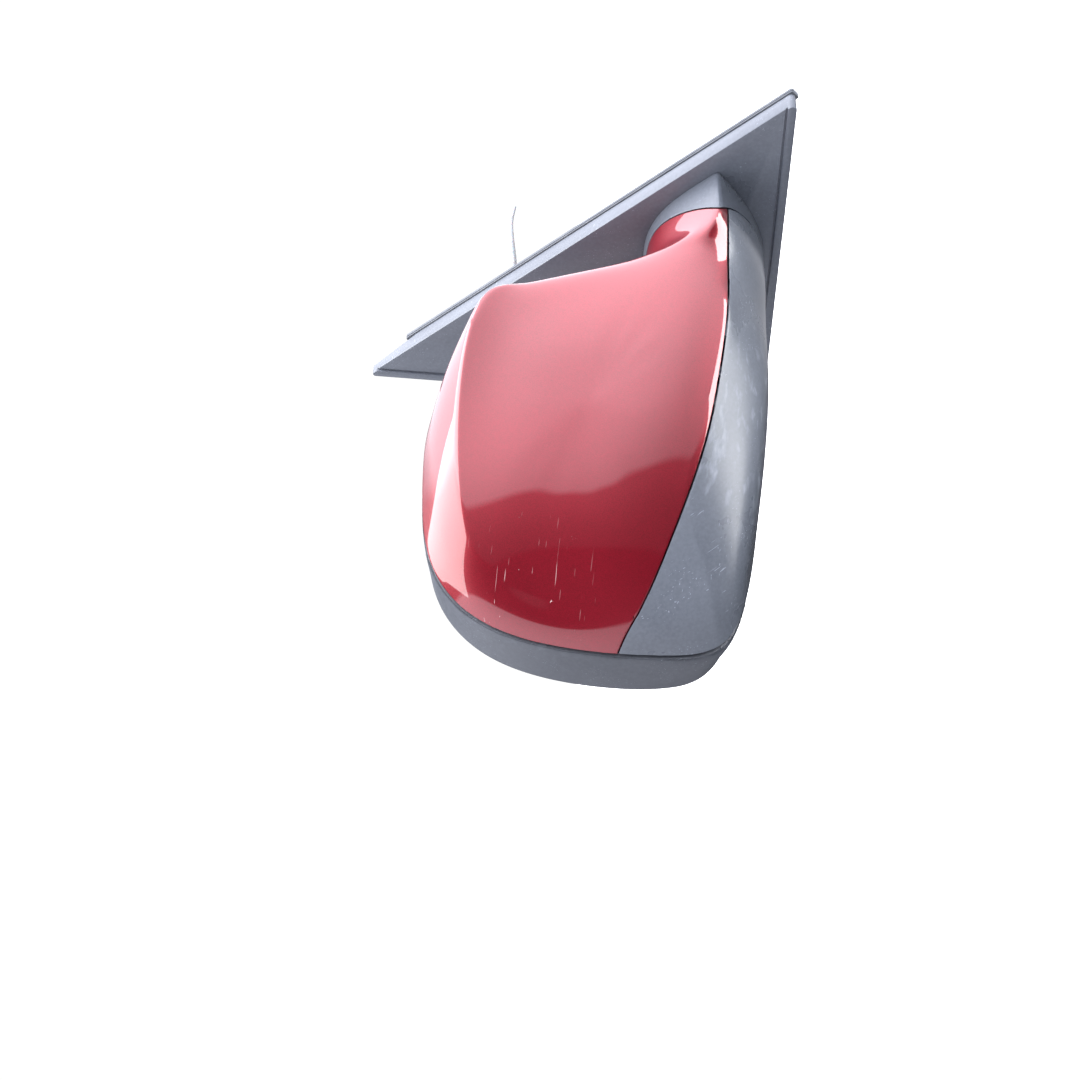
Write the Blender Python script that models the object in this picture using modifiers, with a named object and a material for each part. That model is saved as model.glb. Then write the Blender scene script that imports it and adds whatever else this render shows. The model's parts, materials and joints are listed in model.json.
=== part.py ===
"""Right-hand car door mirror: sail plate, foot, folding head, tilting glass and their drives.

Frame: +X outboard, +Y car forward, +Z up. Origin on the bracket's door pad; X = 0 is the door skin.
"""
import bpy
import bmesh
from math import atan, cos, sin, radians, pi
from mathutils import Matrix, Vector

MM = 0.001

# ---- driving dimensions, in millimetres ----
SAIL_TOP = (-61.0, 143.0)        # sail plate corners as (Y, Z), before rounding
SAIL_FRONT = (120.0, -60.3)
SAIL_REAR = (-84.0, -61.0)
SAIL_FACE = 10.0                 # X of the visible face
SAIL_RIM = 11.0                  # X of the raised rims
SAIL_BACK = 2.0                  # X of the back edge
RIM_WIDTH = 4.0
TIP_LENGTH = 34.0                # the plate thins towards its top corner over this length
TIP_SLOPE = radians(7.0)
WALL = 2.5                       # moulded wall thickness
INNER_DEPTH = 3.4                # inner faces lie this far inside the coarser once-divided form
TUNNEL_DEPTH = 5.0

PIVOT = (62.0, 42.0)             # fold axis as (X, Y)
POST_R = 7.0                     # hollow pivot post
PARTING_R = 45.0                 # radius of the head's neck end about the fold axis
FOOT_REAR = 12.0                 # Y where the foot's rear wall stands

TOE = 0.25                       # glass plane: Y falls 0.25 for each 1 outboard
SEAM_Y = 11.25                   # seam plane is Y = SEAM_Y - TOE * X
BEZEL_DEPTH = 24.0               # along Y
GLASS_CENTRE = (133.0, 33.0)     # (X, Z)
TILT_DEPTH = -9.0                # tilt centre, behind the seam plane
PLUNGER_ARM = 26.0               # plunger distance from the tilt centre
SEAM_GAP = 0.7
NECK_X = 59.0                    # the rim starts outboard of this, the neck lies inboard
REACH = 220.0                    # half size of cutting blocks

TILT_ANGLE = atan(TOE)
SOLIDS = "side_mirror"
CUTTERS = "cutters"


def start():
    for obj in list(bpy.data.objects):
        bpy.data.objects.remove(obj)
    for name in (SOLIDS, CUTTERS):
        group = bpy.data.collections.get(name)
        if group is None:
            group = bpy.data.collections.new(name)
            bpy.context.scene.collection.children.link(group)


def material(name, colour, roughness, metallic=0.0):
    made = bpy.data.materials.new(name)
    made.use_nodes = True
    shader = made.node_tree.nodes["Principled BSDF"]
    shader.inputs["Base Color"].default_value = (*colour, 1.0)
    shader.inputs["Roughness"].default_value = roughness
    shader.inputs["Metallic"].default_value = metallic
    return made


FINISH = {
    "paint": ((0.25, 0.01, 0.02), 0.2, 0.4),
    "grey": ((0.12, 0.13, 0.15), 0.45, 0.0),
    "dark": ((0.03, 0.03, 0.035), 0.6, 0.0),
    "rubber": ((0.02, 0.02, 0.02), 0.8, 0.0),
    "alloy": ((0.55, 0.56, 0.58), 0.45, 0.9),
    "steel": ((0.45, 0.46, 0.48), 0.3, 1.0),
    "brass": ((0.65, 0.5, 0.25), 0.35, 1.0),
    "natural": ((0.75, 0.74, 0.7), 0.5, 0.0),
    "mirror": ((0.9, 0.92, 0.95), 0.02, 1.0),
}


def add(name, mesh, finish=None, cutter=False):
    """Put a mesh into the scene as a part, or as a hidden cutter."""
    obj = bpy.data.objects.new(name, mesh)
    if cutter:
        bpy.data.collections[CUTTERS].objects.link(obj)
        obj.hide_render = True
        obj.display_type = 'WIRE'
        return obj
    bpy.data.collections[SOLIDS].objects.link(obj)
    mesh.materials.clear()
    mesh.materials.append(material(name, *FINISH[finish]))
    return obj


def boolean(obj, cutter, operation):
    step = obj.modifiers.new(operation.lower(), 'BOOLEAN')
    step.operation = operation
    step.object = cutter
    step.solver = 'EXACT'
    return step


def cut(obj, *cutters):
    for cutter in cutters:
        boolean(obj, cutter, 'DIFFERENCE')


def keep(obj, *cutters):
    for cutter in cutters:
        boolean(obj, cutter, 'INTERSECT')


def join(obj, *others):
    for other in others:
        boolean(obj, other, 'UNION')


# ---- meshes, all sizes in millimetres ----
def to_mesh(name, bm, matrix=None):
    if matrix is not None:
        bmesh.ops.transform(bm, matrix=matrix, verts=bm.verts)
    bmesh.ops.scale(bm, vec=(MM, MM, MM), verts=bm.verts)
    bmesh.ops.recalc_face_normals(bm, faces=bm.faces)
    mesh = bpy.data.meshes.new(name)
    bm.to_mesh(mesh)
    bm.free()
    return mesh


def box_mesh(name, low, high, matrix=None):
    bm = bmesh.new()
    bmesh.ops.create_cube(bm, size=1.0)
    size = [high[i] - low[i] for i in range(3)]
    middle = [(high[i] + low[i]) / 2 for i in range(3)]
    bmesh.ops.scale(bm, vec=size, verts=bm.verts)
    bmesh.ops.translate(bm, vec=middle, verts=bm.verts)
    return to_mesh(name, bm, matrix)


def turn(axis):
    """Rotation that takes +Z to the named axis."""
    return {
        "X": Matrix.Rotation(pi / 2, 4, 'Y'),
        "Y": Matrix.Rotation(-pi / 2, 4, 'X'),
        "Z": Matrix.Identity(4),
    }[axis]


def rod_mesh(name, centre, axis, low, high, radius, sides=24, matrix=None, tip=None):
    """Cylinder along an axis from low to high; centre gives the other two coordinates."""
    bm = bmesh.new()
    end = radius if tip is None else tip
    bmesh.ops.create_cone(bm, cap_ends=True, segments=sides, radius1=radius, radius2=end, depth=high - low)
    middle = (high + low) / 2
    place = {
        "X": (middle, centre[0], centre[1]),
        "Y": (centre[0], middle, centre[1]),
        "Z": (centre[0], centre[1], middle),
    }[axis]
    bmesh.ops.transform(bm, matrix=Matrix.Translation(place) @ turn(axis), verts=bm.verts)
    return to_mesh(name, bm, matrix)


def ring_part(name, finish, centre, axis, low, high, outer, inner, sides=32, matrix=None):
    """Tube: a rod with a bored hole."""
    obj = add(name, rod_mesh(name, centre, axis, low, high, outer, sides, matrix), finish)
    bore = rod_mesh(name + "_bore", centre, axis, low - 1, high + 1, inner, sides, matrix)
    cut(obj, add(name + "_bore", bore, cutter=True))
    return obj


def prism_mesh(name, outline, low, high, axis="X", matrix=None):
    """Closed outline pushed along an axis. For X the outline is (Y, Z), for Y it is (X, Z)."""
    bm = bmesh.new()
    if axis == "X":
        verts = [bm.verts.new((low, y, z)) for y, z in outline]
        push = (high - low, 0, 0)
    else:
        verts = [bm.verts.new((x, low, z)) for x, z in outline]
        push = (0, high - low, 0)
    face = bm.faces.new(verts)
    out = bmesh.ops.extrude_face_region(bm, geom=[face])
    moved = [v for v in out["geom"] if isinstance(v, bmesh.types.BMVert)]
    bmesh.ops.translate(bm, vec=push, verts=moved)
    return to_mesh(name, bm, matrix)


def rounded(points, radii, steps=5):
    """Polygon with its corners rounded by arcs."""
    out = []
    count = len(points)
    for i, point in enumerate(points):
        here = Vector(point)
        back = (Vector(points[i - 1]) - here).normalized()
        ahead = (Vector(points[(i + 1) % count]) - here).normalized()
        half = back.angle(ahead) / 2
        reach = radii[i] / abs(sin(half) / cos(half))
        centre = here + (back + ahead).normalized() * (radii[i] / sin(half))
        first = here + back * reach
        last = here + ahead * reach
        for k in range(steps + 1):
            blend = first.lerp(last, k / steps) - centre
            out.append(tuple(centre + blend.normalized() * radii[i]))
    return out


def inset(points, distances):
    """Polygon with each side (from point i to i+1) moved inwards by its distance."""
    count = len(points)
    area = sum(points[i][0] * points[(i + 1) % count][1] - points[(i + 1) % count][0] * points[i][1]
               for i in range(count))
    side = 1 if area > 0 else -1
    lines = []
    for i in range(count):
        a = Vector(points[i])
        b = Vector(points[(i + 1) % count])
        along = (b - a).normalized()
        inward = Vector((-along.y, along.x)) * side
        lines.append((a + inward * distances[i], along))
    out = []
    for i in range(count):
        (a, u), (b, v) = lines[i - 1], lines[i]
        cross = u.x * v.y - u.y * v.x
        step = ((b - a).x * v.y - (b - a).y * v.x) / cross
        out.append(tuple(a + u * step))
    return out


# ---- frames ----
def seam_y(x):
    return SEAM_Y - TOE * x


def rim_frame():
    """Glass frame: x along the glass outboard, y square to it towards the front, z up."""
    x = GLASS_CENTRE[0]
    place = Matrix.Translation((x, seam_y(x), GLASS_CENTRE[1]))
    return place @ Matrix.Rotation(-TILT_ANGLE, 4, 'Z')


RIM = rim_frame()


# ---- head skin: a coarse cage, subdivided ----
RIM_LOOP = [
    (62, -46), (59, -18), (59, 30), (60, 84), (80, 110), (122, 111.5), (162, 110),
    (191, 84), (202, 40), (204.5, -4), (203, -35), (150, -45), (92, -50),
]
REAR_LOOP = [
    (62, -46), (59, -18), (59, 30), (60, 83), (80, 108.5), (122, 109.5), (162, 107.5),
    (191, 82), (203, 40), (205.5, -3), (197, -27), (150, -43), (92, -50),
]
MIDDLE_LOOP = [
    (58, 28, -54), (52, 25, -20), (54, 28, 26), (56, 25, 79), (73, 24, 102), (118, 4, 104), (158, -13, 103),
    (185, -24, 85), (198, -30, 43), (199, -27, 4), (190, -14, -30), (142, 8, -46), (90, 30, -54),
]
FRONT_LOOP = [
    (64, 63, -32), (46, 66, -16), (43, 60, 12), (52, 57, 69), (67, 55, 87), (110, 28, 94.5), (150, 4, 93),
    (174, -13, 82), (187, -22, 48), (187, -13, 14), (161, 12, -6), (129, 34, -19), (94, 53, -28),
]
NECK_LOOP_YZ = [
    (60, -41), (78, -27), (57, -3), (36, 6), (5, 5), (-5, -18), (-2, -46), (26, -56),
]
CREASES = {
    3: 0.5, 4: 0.7, 5: 0.8, 6: 0.8, 7: 0.6, 8: 0.3, 9: 0.3, 10: 0.55, 11: 0.6, 12: 0.55, 0: 0.4,
}
RIDGE_COLUMN = 1                 # the neck's front ridge, which gives the foot its pointed arch
RIDGE_CREASE = 0.55
FACE_MIDDLE = (118.0, 36.0)
FRONT_CURVE = [(40, 67), (75, 61), (94, 54), (129, 36), (161, 14), (187, -12), (200, -24)]
LEAN = 21.0                      # how far the front face leans back from its lower ridge to its top edge


def front_y(x, z):
    """Y of the front face at a point seen from the front."""
    for (x0, y0), (x1, y1) in zip(FRONT_CURVE, FRONT_CURVE[1:]):
        if x <= x1:
            break
    base = y0 + (y1 - y0) * (x - x0) / (x1 - x0)
    rise = max(0.0, (z + 20) / 115)
    return base + 2.0 - LEAN * rise ** 1.6


def head_cage():
    bm = bmesh.new()
    rows = []
    for depth, loop in ((-40, REAR_LOOP), (-24, REAR_LOOP), (-6, RIM_LOOP), (0, RIM_LOOP)):
        rows.append([bm.verts.new((x, seam_y(x) + depth, z)) for x, z in loop])
    mix = 0.25
    front_step = [(x, seam_y(x), z) for x, z in RIM_LOOP]
    rows.append([bm.verts.new(Vector(a).lerp(Vector(b), mix)) for a, b in zip(front_step, MIDDLE_LOOP)])
    rows.append([bm.verts.new(point) for point in MIDDLE_LOOP])
    rows.append([bm.verts.new(point) for point in FRONT_LOOP])
    for shrink in (0.72, 0.36):
        row = []
        for x, _, z in FRONT_LOOP:
            px = FACE_MIDDLE[0] + (x - FACE_MIDDLE[0]) * shrink
            pz = FACE_MIDDLE[1] + (z - FACE_MIDDLE[1]) * shrink
            row.append(bm.verts.new((px, front_y(px, pz), pz)))
        rows.append(row)
    count = len(RIM_LOOP)
    step_row, mid_row, crease_row = 4, 5, 6
    neck_columns = (0, 1)
    for r in range(len(rows) - 1):
        for j in range(count):
            if r in (step_row, mid_row) and j in neck_columns:
                continue
            k = (j + 1) % count
            bm.faces.new((rows[r][j], rows[r][k], rows[r + 1][k], rows[r + 1][j]))
    bm.faces.new(rows[0][::-1])
    bm.faces.new(rows[-1])
    ring = [rows[crease_row][0], rows[crease_row][1], rows[crease_row][2], rows[mid_row][2],
            rows[step_row][2], rows[step_row][1], rows[step_row][0], rows[mid_row][0]]
    bm.verts.remove(rows[mid_row][1])
    neck_spread = ((40, 0.0), (24, 0.0), (12, 0.0), (4, 2.0))
    centre = Vector((32, -22))
    ridge = []
    for x, flare in neck_spread:
        loop = []
        for y, z in NECK_LOOP_YZ:
            out = (Vector((y, z)) - centre).normalized() * flare
            loop.append(bm.verts.new((x, y + out.x, z + out.y)))
        for i in range(8):
            k = (i + 1) % 8
            bm.faces.new((ring[i], ring[k], loop[k], loop[i]))
        ridge.append((ring[RIDGE_COLUMN], loop[RIDGE_COLUMN]))
        ring = loop
    bm.faces.new(ring)
    bm.verts.index_update()
    layer = bm.edges.layers.float.new("crease_edge")
    for j, weight in CREASES.items():
        k = (j + 1) % count
        edge = bm.edges.get((rows[crease_row][j], rows[crease_row][k]))
        if edge is not None:
            edge[layer] = weight
    for pair in ridge:
        bm.edges.get(pair)[layer] = RIDGE_CREASE
    bmesh.ops.recalc_face_normals(bm, faces=bm.faces)
    return bm


def head_skin(name, depth=0.0, levels=2):
    """The head's outer form, moved inwards by a depth."""
    mesh = to_mesh(name + "_cage", head_cage())
    obj = add(name, mesh, cutter=True)
    smooth = obj.modifiers.new("smooth", 'SUBSURF')
    smooth.levels = levels
    smooth.render_levels = levels
    bpy.context.view_layer.update()
    graph = bpy.context.evaluated_depsgraph_get()
    fine = bpy.data.meshes.new_from_object(obj.evaluated_get(graph))
    obj.modifiers.clear()
    obj.data = fine
    if depth:
        normals = [v.normal.copy() for v in fine.vertices]
        for vertex, normal in zip(fine.vertices, normals):
            vertex.co -= normal * depth * MM
    bm = bmesh.new()
    bm.from_mesh(fine)
    bmesh.ops.triangulate(bm, faces=bm.faces)
    bm.to_mesh(fine)
    bm.free()
    return obj


def slab(name, low, high):
    """Block square to the glass between two depths (glass frame, y), outboard of the neck."""
    inner = (NECK_X - GLASS_CENTRE[0]) / cos(TILT_ANGLE)
    return add(name, box_mesh(name, (inner, low, -REACH), (REACH, high, REACH), RIM), cutter=True)


def pivot_drum(name, radius):
    """Everything the head may fill on its inboard side: a drum about the fold axis and all outboard of it."""
    drum = add(name, rod_mesh(name, PIVOT, "Z", -150, 150, radius, 72), cutter=True)
    block = box_mesh(name + "_block", (PIVOT[0] - 2, -300, -160), (400, 300, 160))
    join(drum, add(block.name, block, cutter=True))
    return drum


SEAM_LINE = [
    (-20, -32), (38, -31), (74, -30), (100, -26.5), (127, -20.5), (150, -12), (176, 1), (190, 10), (198, 17),
    (230, 44),
]


def split_block(name, upper):
    """Cutter above (or below) the line between painted cap and lower case."""
    shift = SEAM_GAP / 2 if upper else -SEAM_GAP / 2
    line = [(x, z + shift) for x, z in SEAM_LINE]
    far = 200 if upper else -200
    outline = line + [(230, far), (-20, far)]
    return add(name, prism_mesh(name, outline, -200, 200, "Y"), cutter=True)


def make_head_shells():
    half_gap = 0.25
    behind_seam = slab("behind_seam", -REACH, half_gap)
    for name, finish, upper in (("painted_cap", "paint", True), ("lower_case", "grey", False)):
        skin = head_skin(name + "_skin")
        shell = add(name, skin.data, finish)
        bpy.data.objects.remove(skin)
        keep(shell, pivot_drum(name + "_drum", PARTING_R), split_block(name + "_split", upper))
        hollow = head_skin(name + "_hollow", INNER_DEPTH, 1)
        keep(hollow, pivot_drum(name + "_inner_drum", PARTING_R - WALL))
        window = head_skin(name + "_window", INNER_DEPTH, 1)
        slot = add(name + "_slot", box_mesh(name + "_slot", (5, -40, -39), (52, 90, -7)), cutter=True)
        keep(window, slot)
        cut(shell, behind_seam, hollow, window)


def make_bezel():
    skin = head_skin("bezel_skin", 0.7)
    bezel = add("bezel", skin.data, "dark")
    bpy.data.objects.remove(skin)
    rear = -BEZEL_DEPTH * cos(TILT_ANGLE)
    keep(bezel, slab("bezel_slab", rear, -0.25))
    cut(bezel, head_skin("bezel_tunnel", TUNNEL_DEPTH, 1))


def make_glass():
    layers = (
        ("glass_carrier", "dark", 9.1, -12.4, -9.9),
        ("heater_pad", "alloy", 9.8, -13.2, -12.7),
        ("mirror_glass", "mirror", 8.4, -15.6, -13.5),
    )
    for name, finish, depth, low, high in layers:
        skin = head_skin(name + "_skin", depth)
        piece = add(name, skin.data, finish)
        bpy.data.objects.remove(skin)
        keep(piece, slab(name + "_slab", low, high))


# ---- sail plate, foot and bracket ----
def sail_corners():
    return [SAIL_TOP, SAIL_FRONT, SAIL_REAR]


def make_sail():
    corners = sail_corners()
    outline = rounded(corners, (1.5, 2.0, 4.0))
    sail = add("sail_cover", prism_mesh("sail_cover", outline, SAIL_BACK, SAIL_RIM), "grey")
    recess = inset(corners, (-8.0, RIM_WIDTH, RIM_WIDTH))
    cut(sail, add("sail_recess", prism_mesh("sail_recess", recess, SAIL_FACE, 20), cutter=True))
    tip = Vector(SAIL_TOP)
    wedge = box_mesh("sail_tip_wedge", (-30, -60, -60), (0, 60, 60))
    slope = add("sail_tip_wedge", wedge, cutter=True)
    along = (Vector(SAIL_FRONT) - tip).normalized()
    lean = Matrix.Rotation(TIP_SLOPE, 4, Vector((0, -along.y, along.x)))
    reach = tip + along * TIP_LENGTH
    slope.matrix_world = Matrix.Translation(Vector((SAIL_BACK, reach.x, reach.y)) * MM) @ lean
    cut(sail, slope)
    hollow = inset(corners, (WALL, WALL, WALL))
    cut(sail, add("sail_hollow", prism_mesh("sail_hollow", hollow, -10, SAIL_FACE - WALL), cutter=True))
    cut(sail, add("arm_hole", box_mesh("arm_hole", (0, 24, -38), (20, 44, -10)), cutter=True))


def make_foot():
    skin = head_skin("foot_skin")
    foot = add("foot_cover", skin.data, "grey")
    bpy.data.objects.remove(skin)
    room = box_mesh("foot_room", (SAIL_FACE + 0.3, FOOT_REAR, -90), (50, 100, 40))
    hollow = head_skin("foot_hollow", INNER_DEPTH, 1)
    inner = box_mesh("foot_inner", (-20, FOOT_REAR + WALL, -90), (90, 100, 40))
    keep(hollow, add("foot_inner", inner, cutter=True))
    drum = rod_mesh("foot_drum", PIVOT, "Z", -150, 150, PARTING_R + 0.5, 72)
    keep(foot, add("foot_room", room, cutter=True))
    cut(foot, add("foot_drum", drum, cutter=True), hollow)


STUDS = ((82.0, -45.0), (-62.0, -42.0), (-40.0, 92.0))
GROMMET = (-30.0, 58.0)
ARM_Y = (26.0, 42.0)
ARM_Z = (-30.0, -20.0)
PAD_THICK = 5.0


def make_bracket():
    outline = inset(sail_corners(), (6.0, 6.0, 6.0))
    pad = prism_mesh("door_bracket", rounded(outline, (6, 6, 6), 3), 0.0, PAD_THICK)
    bracket = add("door_bracket", pad, "alloy")
    arm = box_mesh("bracket_arm", (2, ARM_Y[0], ARM_Z[0]), (PIVOT[0], ARM_Y[1], ARM_Z[1]))
    rib = box_mesh("bracket_rib", (3, ARM_Y[0] + 5, ARM_Z[1] - 2), (38, ARM_Y[1] - 5, -13))
    boss = rod_mesh("bracket_boss", PIVOT, "Z", ARM_Z[0], ARM_Z[1], 12, 32)
    join(bracket, *(add(m.name, m, cutter=True) for m in (arm, rib, boss)))
    bore = rod_mesh("bracket_bore", PIVOT, "Z", -60, 0, POST_R + 0.3, 32)
    opening = rod_mesh("bracket_opening", GROMMET, "X", -5, 20, 9.3, 24)
    cut(bracket, *(add(m.name, m, cutter=True) for m in (bore, opening)))
    for i, stud in enumerate(STUDS):
        hole = rod_mesh("stud_hole_%d" % (i + 1), stud, "X", -5, 20, 3.4, 16)
        cut(bracket, add(hole.name, hole, cutter=True))


def make_fasteners():
    for i, stud in enumerate(STUDS):
        name = "door_stud_%d" % (i + 1)
        shank = add(name, rod_mesh(name, stud, "X", -22, 6.5, 3.0, 16), "steel")
        head = rod_mesh(name + "_head", stud, "X", 5.3, 7.2, 5.4, 16)
        join(shank, add(head.name, head, cutter=True))


def make_seals():
    corners = sail_corners()
    gasket = add("sail_gasket", prism_mesh("sail_gasket", inset(corners, (7, 7, 7)), -3.5, -0.3), "rubber")
    inner = prism_mesh("gasket_inner", inset(corners, (12, 12, 12)), -8, 4)
    cut(gasket, add("gasket_inner", inner, cutter=True))
    top = Vector(SAIL_TOP)
    along = (Vector(SAIL_FRONT) - top).normalized()
    out = Vector((-along.y, along.x))
    if out.y < 0:
        out = -out
    start = top + along * 26
    end = Vector(SAIL_FRONT) - along * 2
    lip = [start - out * 5, start + out * 0.4, end + out * 0.4, end - out * 5]
    add("pillar_seal", prism_mesh("pillar_seal", rounded(lip, (1, 1.2, 1.2, 1), 3), -1.2, 1.6), "rubber")


TIE_CENTRE_X = -9.0
SLEEVE_R = 7.0


def make_cable_exit():
    sleeve = ring_part("grommet", "rubber", GROMMET, "X", -14, 7.0, SLEEVE_R, 4.2, 24)
    flange = rod_mesh("grommet_flange", GROMMET, "X", 5.4, 7.0, 11.5, 24)
    bore = rod_mesh("grommet_flange_bore", GROMMET, "X", 4, 9, 4.2, 24)
    disc = add("grommet_flange", flange, cutter=True)
    cut(disc, add("grommet_flange_bore", bore, cutter=True))
    join(sleeve, disc)
    tie = ring_part("cable_tie", "natural", GROMMET, "X", TIE_CENTRE_X - 1.8, TIE_CENTRE_X + 1.8,
                    SLEEVE_R + 1.4, SLEEVE_R + 0.3, 24)
    head = box_mesh("tie_head", (TIE_CENTRE_X - 2.8, GROMMET[0] + 1, GROMMET[1] + SLEEVE_R + 0.7),
                    (TIE_CENTRE_X + 2.8, GROMMET[0] + 7, GROMMET[1] + SLEEVE_R + 5.2))
    join(tie, add("tie_head", head, cutter=True))


TAIL_ROUTE = [
    (-9.5, -21.6, 67.6), (-14, -17, 67.8), (-22, -11, 68.0), (-34, -6, 69.3), (-46, -7, 69.6),
    (-58, -8.2, 68.0),
]


def curve_points(route, count):
    """Points along a smooth curve through a route."""
    points = [Vector(p) for p in route]
    ends = [points[0] * 2 - points[1]] + points + [points[-1] * 2 - points[-2]]
    out = []
    spans = len(points) - 1
    for i in range(count):
        where = i / (count - 1) * spans
        s = min(int(where), spans - 1)
        t = where - s
        a, b, c, d = ends[s:s + 4]
        out.append(0.5 * ((2 * b) + (c - a) * t + (2 * a - 5 * b + 4 * c - d) * t * t
                          + (3 * b - a - 3 * c + d) * t ** 3))
    return out


def tube(name, points, radius, finish, tip_scale=1.0):
    data = bpy.data.curves.new(name, 'CURVE')
    data.dimensions = '3D'
    data.bevel_depth = radius * MM
    data.bevel_resolution = 2
    data.use_fill_caps = True
    line = data.splines.new('POLY')
    line.points.add(len(points) - 1)
    for i, point in enumerate(points):
        line.points[i].co = (*(Vector(point) * MM), 1.0)
        line.points[i].radius = 1.0 + (tip_scale - 1.0) * i / (len(points) - 1)
    obj = bpy.data.objects.new(name, data)
    bpy.data.collections[SOLIDS].objects.link(obj)
    data.materials.append(material(name, *FINISH[finish]))
    return obj


def make_tail():
    tube("tie_tail", curve_points(TAIL_ROUTE, 24), 0.95, "natural", 0.55)


# ---- fold mechanism ----
BEARING_Z = (-19.0, 6.0)
SPRING_R = 9.2
SPRING_WIRE = 0.9


def make_fold_mechanism():
    top = BEARING_Z[1]
    ring_part("pivot_post", "steel", PIVOT, "Z", ARM_Z[0] - 1, 28, POST_R, POST_R - 2.5)
    ring_part("detent_ring", "steel", PIVOT, "Z", top + 0.4, top + 3.4, 12, POST_R + 0.3)
    ring_part("fold_gear", "natural", PIVOT, "Z", top + 3.8, top + 7.5, 13.5, POST_R + 0.3)
    turns, per_turn = 3, 12
    low, high = top + 8.8, 25.2
    spring = []
    for i in range(turns * per_turn + 1):
        angle = 2 * pi * i / per_turn
        z = low + (high - low) * i / (turns * per_turn)
        spring.append((PIVOT[0] + SPRING_R * cos(angle), PIVOT[1] + SPRING_R * sin(angle), z))
    tube("pivot_spring", spring, SPRING_WIRE, "steel")
    ring_part("spring_retainer", "steel", PIVOT, "Z", 26.5, 28.0, 9.4, POST_R + 0.3)
    worm = (PIVOT[0] + 18.0, top + 5.6)
    add("fold_worm", rod_mesh("fold_worm", worm, "Y", PIVOT[1] - 10, PIVOT[1] + 6, 3.4, 16), "brass")
    add("fold_motor", rod_mesh("fold_motor", worm, "Y", 16.5, PIVOT[1] - 11, 8.0, 24), "steel")
    tray = box_mesh("fold_tray", (PIVOT[0] + 13.8, 16, 0.8), (PIVOT[0] + 28.6, 46, 2.8))
    wall = box_mesh("fold_tray_wall", (PIVOT[0] + 26.6, 16, 2), (PIVOT[0] + 28.6, 46, 18))
    housing = add("fold_housing", tray, "dark")
    join(housing, add("fold_tray_wall", wall, cutter=True))


def make_frame():
    frame = add("head_frame", box_mesh("head_frame", (-56, 14.0, -52), (27, 17.0, 38), RIM), "alloy")
    arm = box_mesh("frame_arm", (PIVOT[0] + 5, -4, -18), (PIVOT[0] + 16, PIVOT[1], -2))
    foot = box_mesh("frame_arm_foot", (PIVOT[0] + 5, 2, -18), (PIVOT[0] + 34, 9, -2))
    tower = rod_mesh("frame_tower", PIVOT, "Z", BEARING_Z[0], BEARING_Z[1], 12, 32)
    join(frame, *(add(m.name, m, cutter=True) for m in (arm, foot, tower)))
    bore = rod_mesh("frame_bore", PIVOT, "Z", -60, 60, POST_R + 0.3, 32)
    centre = rod_mesh("frame_opening", (0, 0), "Y", 0, 40, 14, 24, RIM)
    cut(frame, *(add(m.name, m, cutter=True) for m in (bore, centre)))
    for i, place in enumerate(SCREWS):
        hole = rod_mesh("screw_hole_%d" % (i + 1), place, "Y", 5, 30, 1.9, 12, RIM)
        cut(frame, add(hole.name, hole, cutter=True))


# ---- glass actuator, in the glass frame ----
SCREWS = ((-26, 26), (-26, -26), (20, -30))
HOUSING_Y = (-2.5, 9.5)
HOUSING_R = 42.0


def make_actuator():
    can = rod_mesh("actuator_housing", (0, 0), "Y", *HOUSING_Y, HOUSING_R, 48, RIM)
    housing = add("actuator_housing", can, "dark")
    hollow = rod_mesh("housing_hollow", (0, 0), "Y", HOUSING_Y[0] + 2, 30, HOUSING_R - 2, 48, RIM)
    cut(housing, add("housing_hollow", hollow, cutter=True))
    post = rod_mesh("housing_post", (0, 0), "Y", TILT_DEPTH + 0.6, HOUSING_Y[0] + 3, 5.0, 20, RIM)
    join(housing, add("housing_post", post, cutter=True))
    for i, (x, z) in enumerate(((0, PLUNGER_ARM), (PLUNGER_ARM, 0))):
        hole = rod_mesh("plunger_hole_%d" % i, (x, z), "Y", -10, 1, 4.0, 20, RIM)
        cut(housing, add(hole.name, hole, cutter=True))
    add("actuator_cover", rod_mesh("actuator_cover", (0, 0), "Y", 9.8, 12.0, HOUSING_R, 48, RIM), "dark")
    sides = {"vertical": (0, PLUNGER_ARM), "horizontal": (PLUNGER_ARM, 0)}
    for name, (x, z) in sides.items():
        label = "tilt_plunger_" + name
        add(label, rod_mesh(label, (x, z), "Y", -8.9, 6.0, 3.2, 20, RIM), "natural")
        ring_part("tilt_wheel_" + name, "natural", (x, z), "Y", 0.2, 4.0, 9.0, 3.6, 28, RIM)
    shafts = (
        ("tilt_worm_vertical", (11.8, 2.2), "Z", 15, 31, 2.2, "brass"),
        ("tilt_worm_horizontal", (2.2, -12.2), "X", 15, 31, 2.2, "brass"),
        ("tilt_motor_vertical", (11.8, 3.4), "Z", -7, 14, 2.9, "steel"),
        ("tilt_motor_horizontal", (3.4, -12.2), "X", -12, 8, 2.9, "steel"),
    )
    for name, centre, axis, low, high, radius, finish in shafts:
        add(name, rod_mesh(name, centre, axis, low, high, radius, 16, RIM), finish)
    ring_part("tilt_ring", "natural", (0, 0), "Y", TILT_DEPTH + 1.2, TILT_DEPTH + 3.4, 11.0, 6.2, 32, RIM)
    for i, place in enumerate(SCREWS):
        name = "actuator_screw_%d" % (i + 1)
        screw = add(name, rod_mesh(name, place, "Y", 12.3, 18, 1.5, 12, RIM), "steel")
        head = rod_mesh(name + "_head", place, "Y", 17.3, 19.5, 4.0, 16, RIM)
        join(screw, add(head.name, head, cutter=True))


def main():
    start()
    make_sail()
    make_foot()
    make_bracket()
    make_fasteners()
    make_seals()
    make_cable_exit()
    make_tail()
    make_fold_mechanism()
    make_frame()
    make_head_shells()
    make_bezel()
    make_actuator()
    make_glass()


main()
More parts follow.
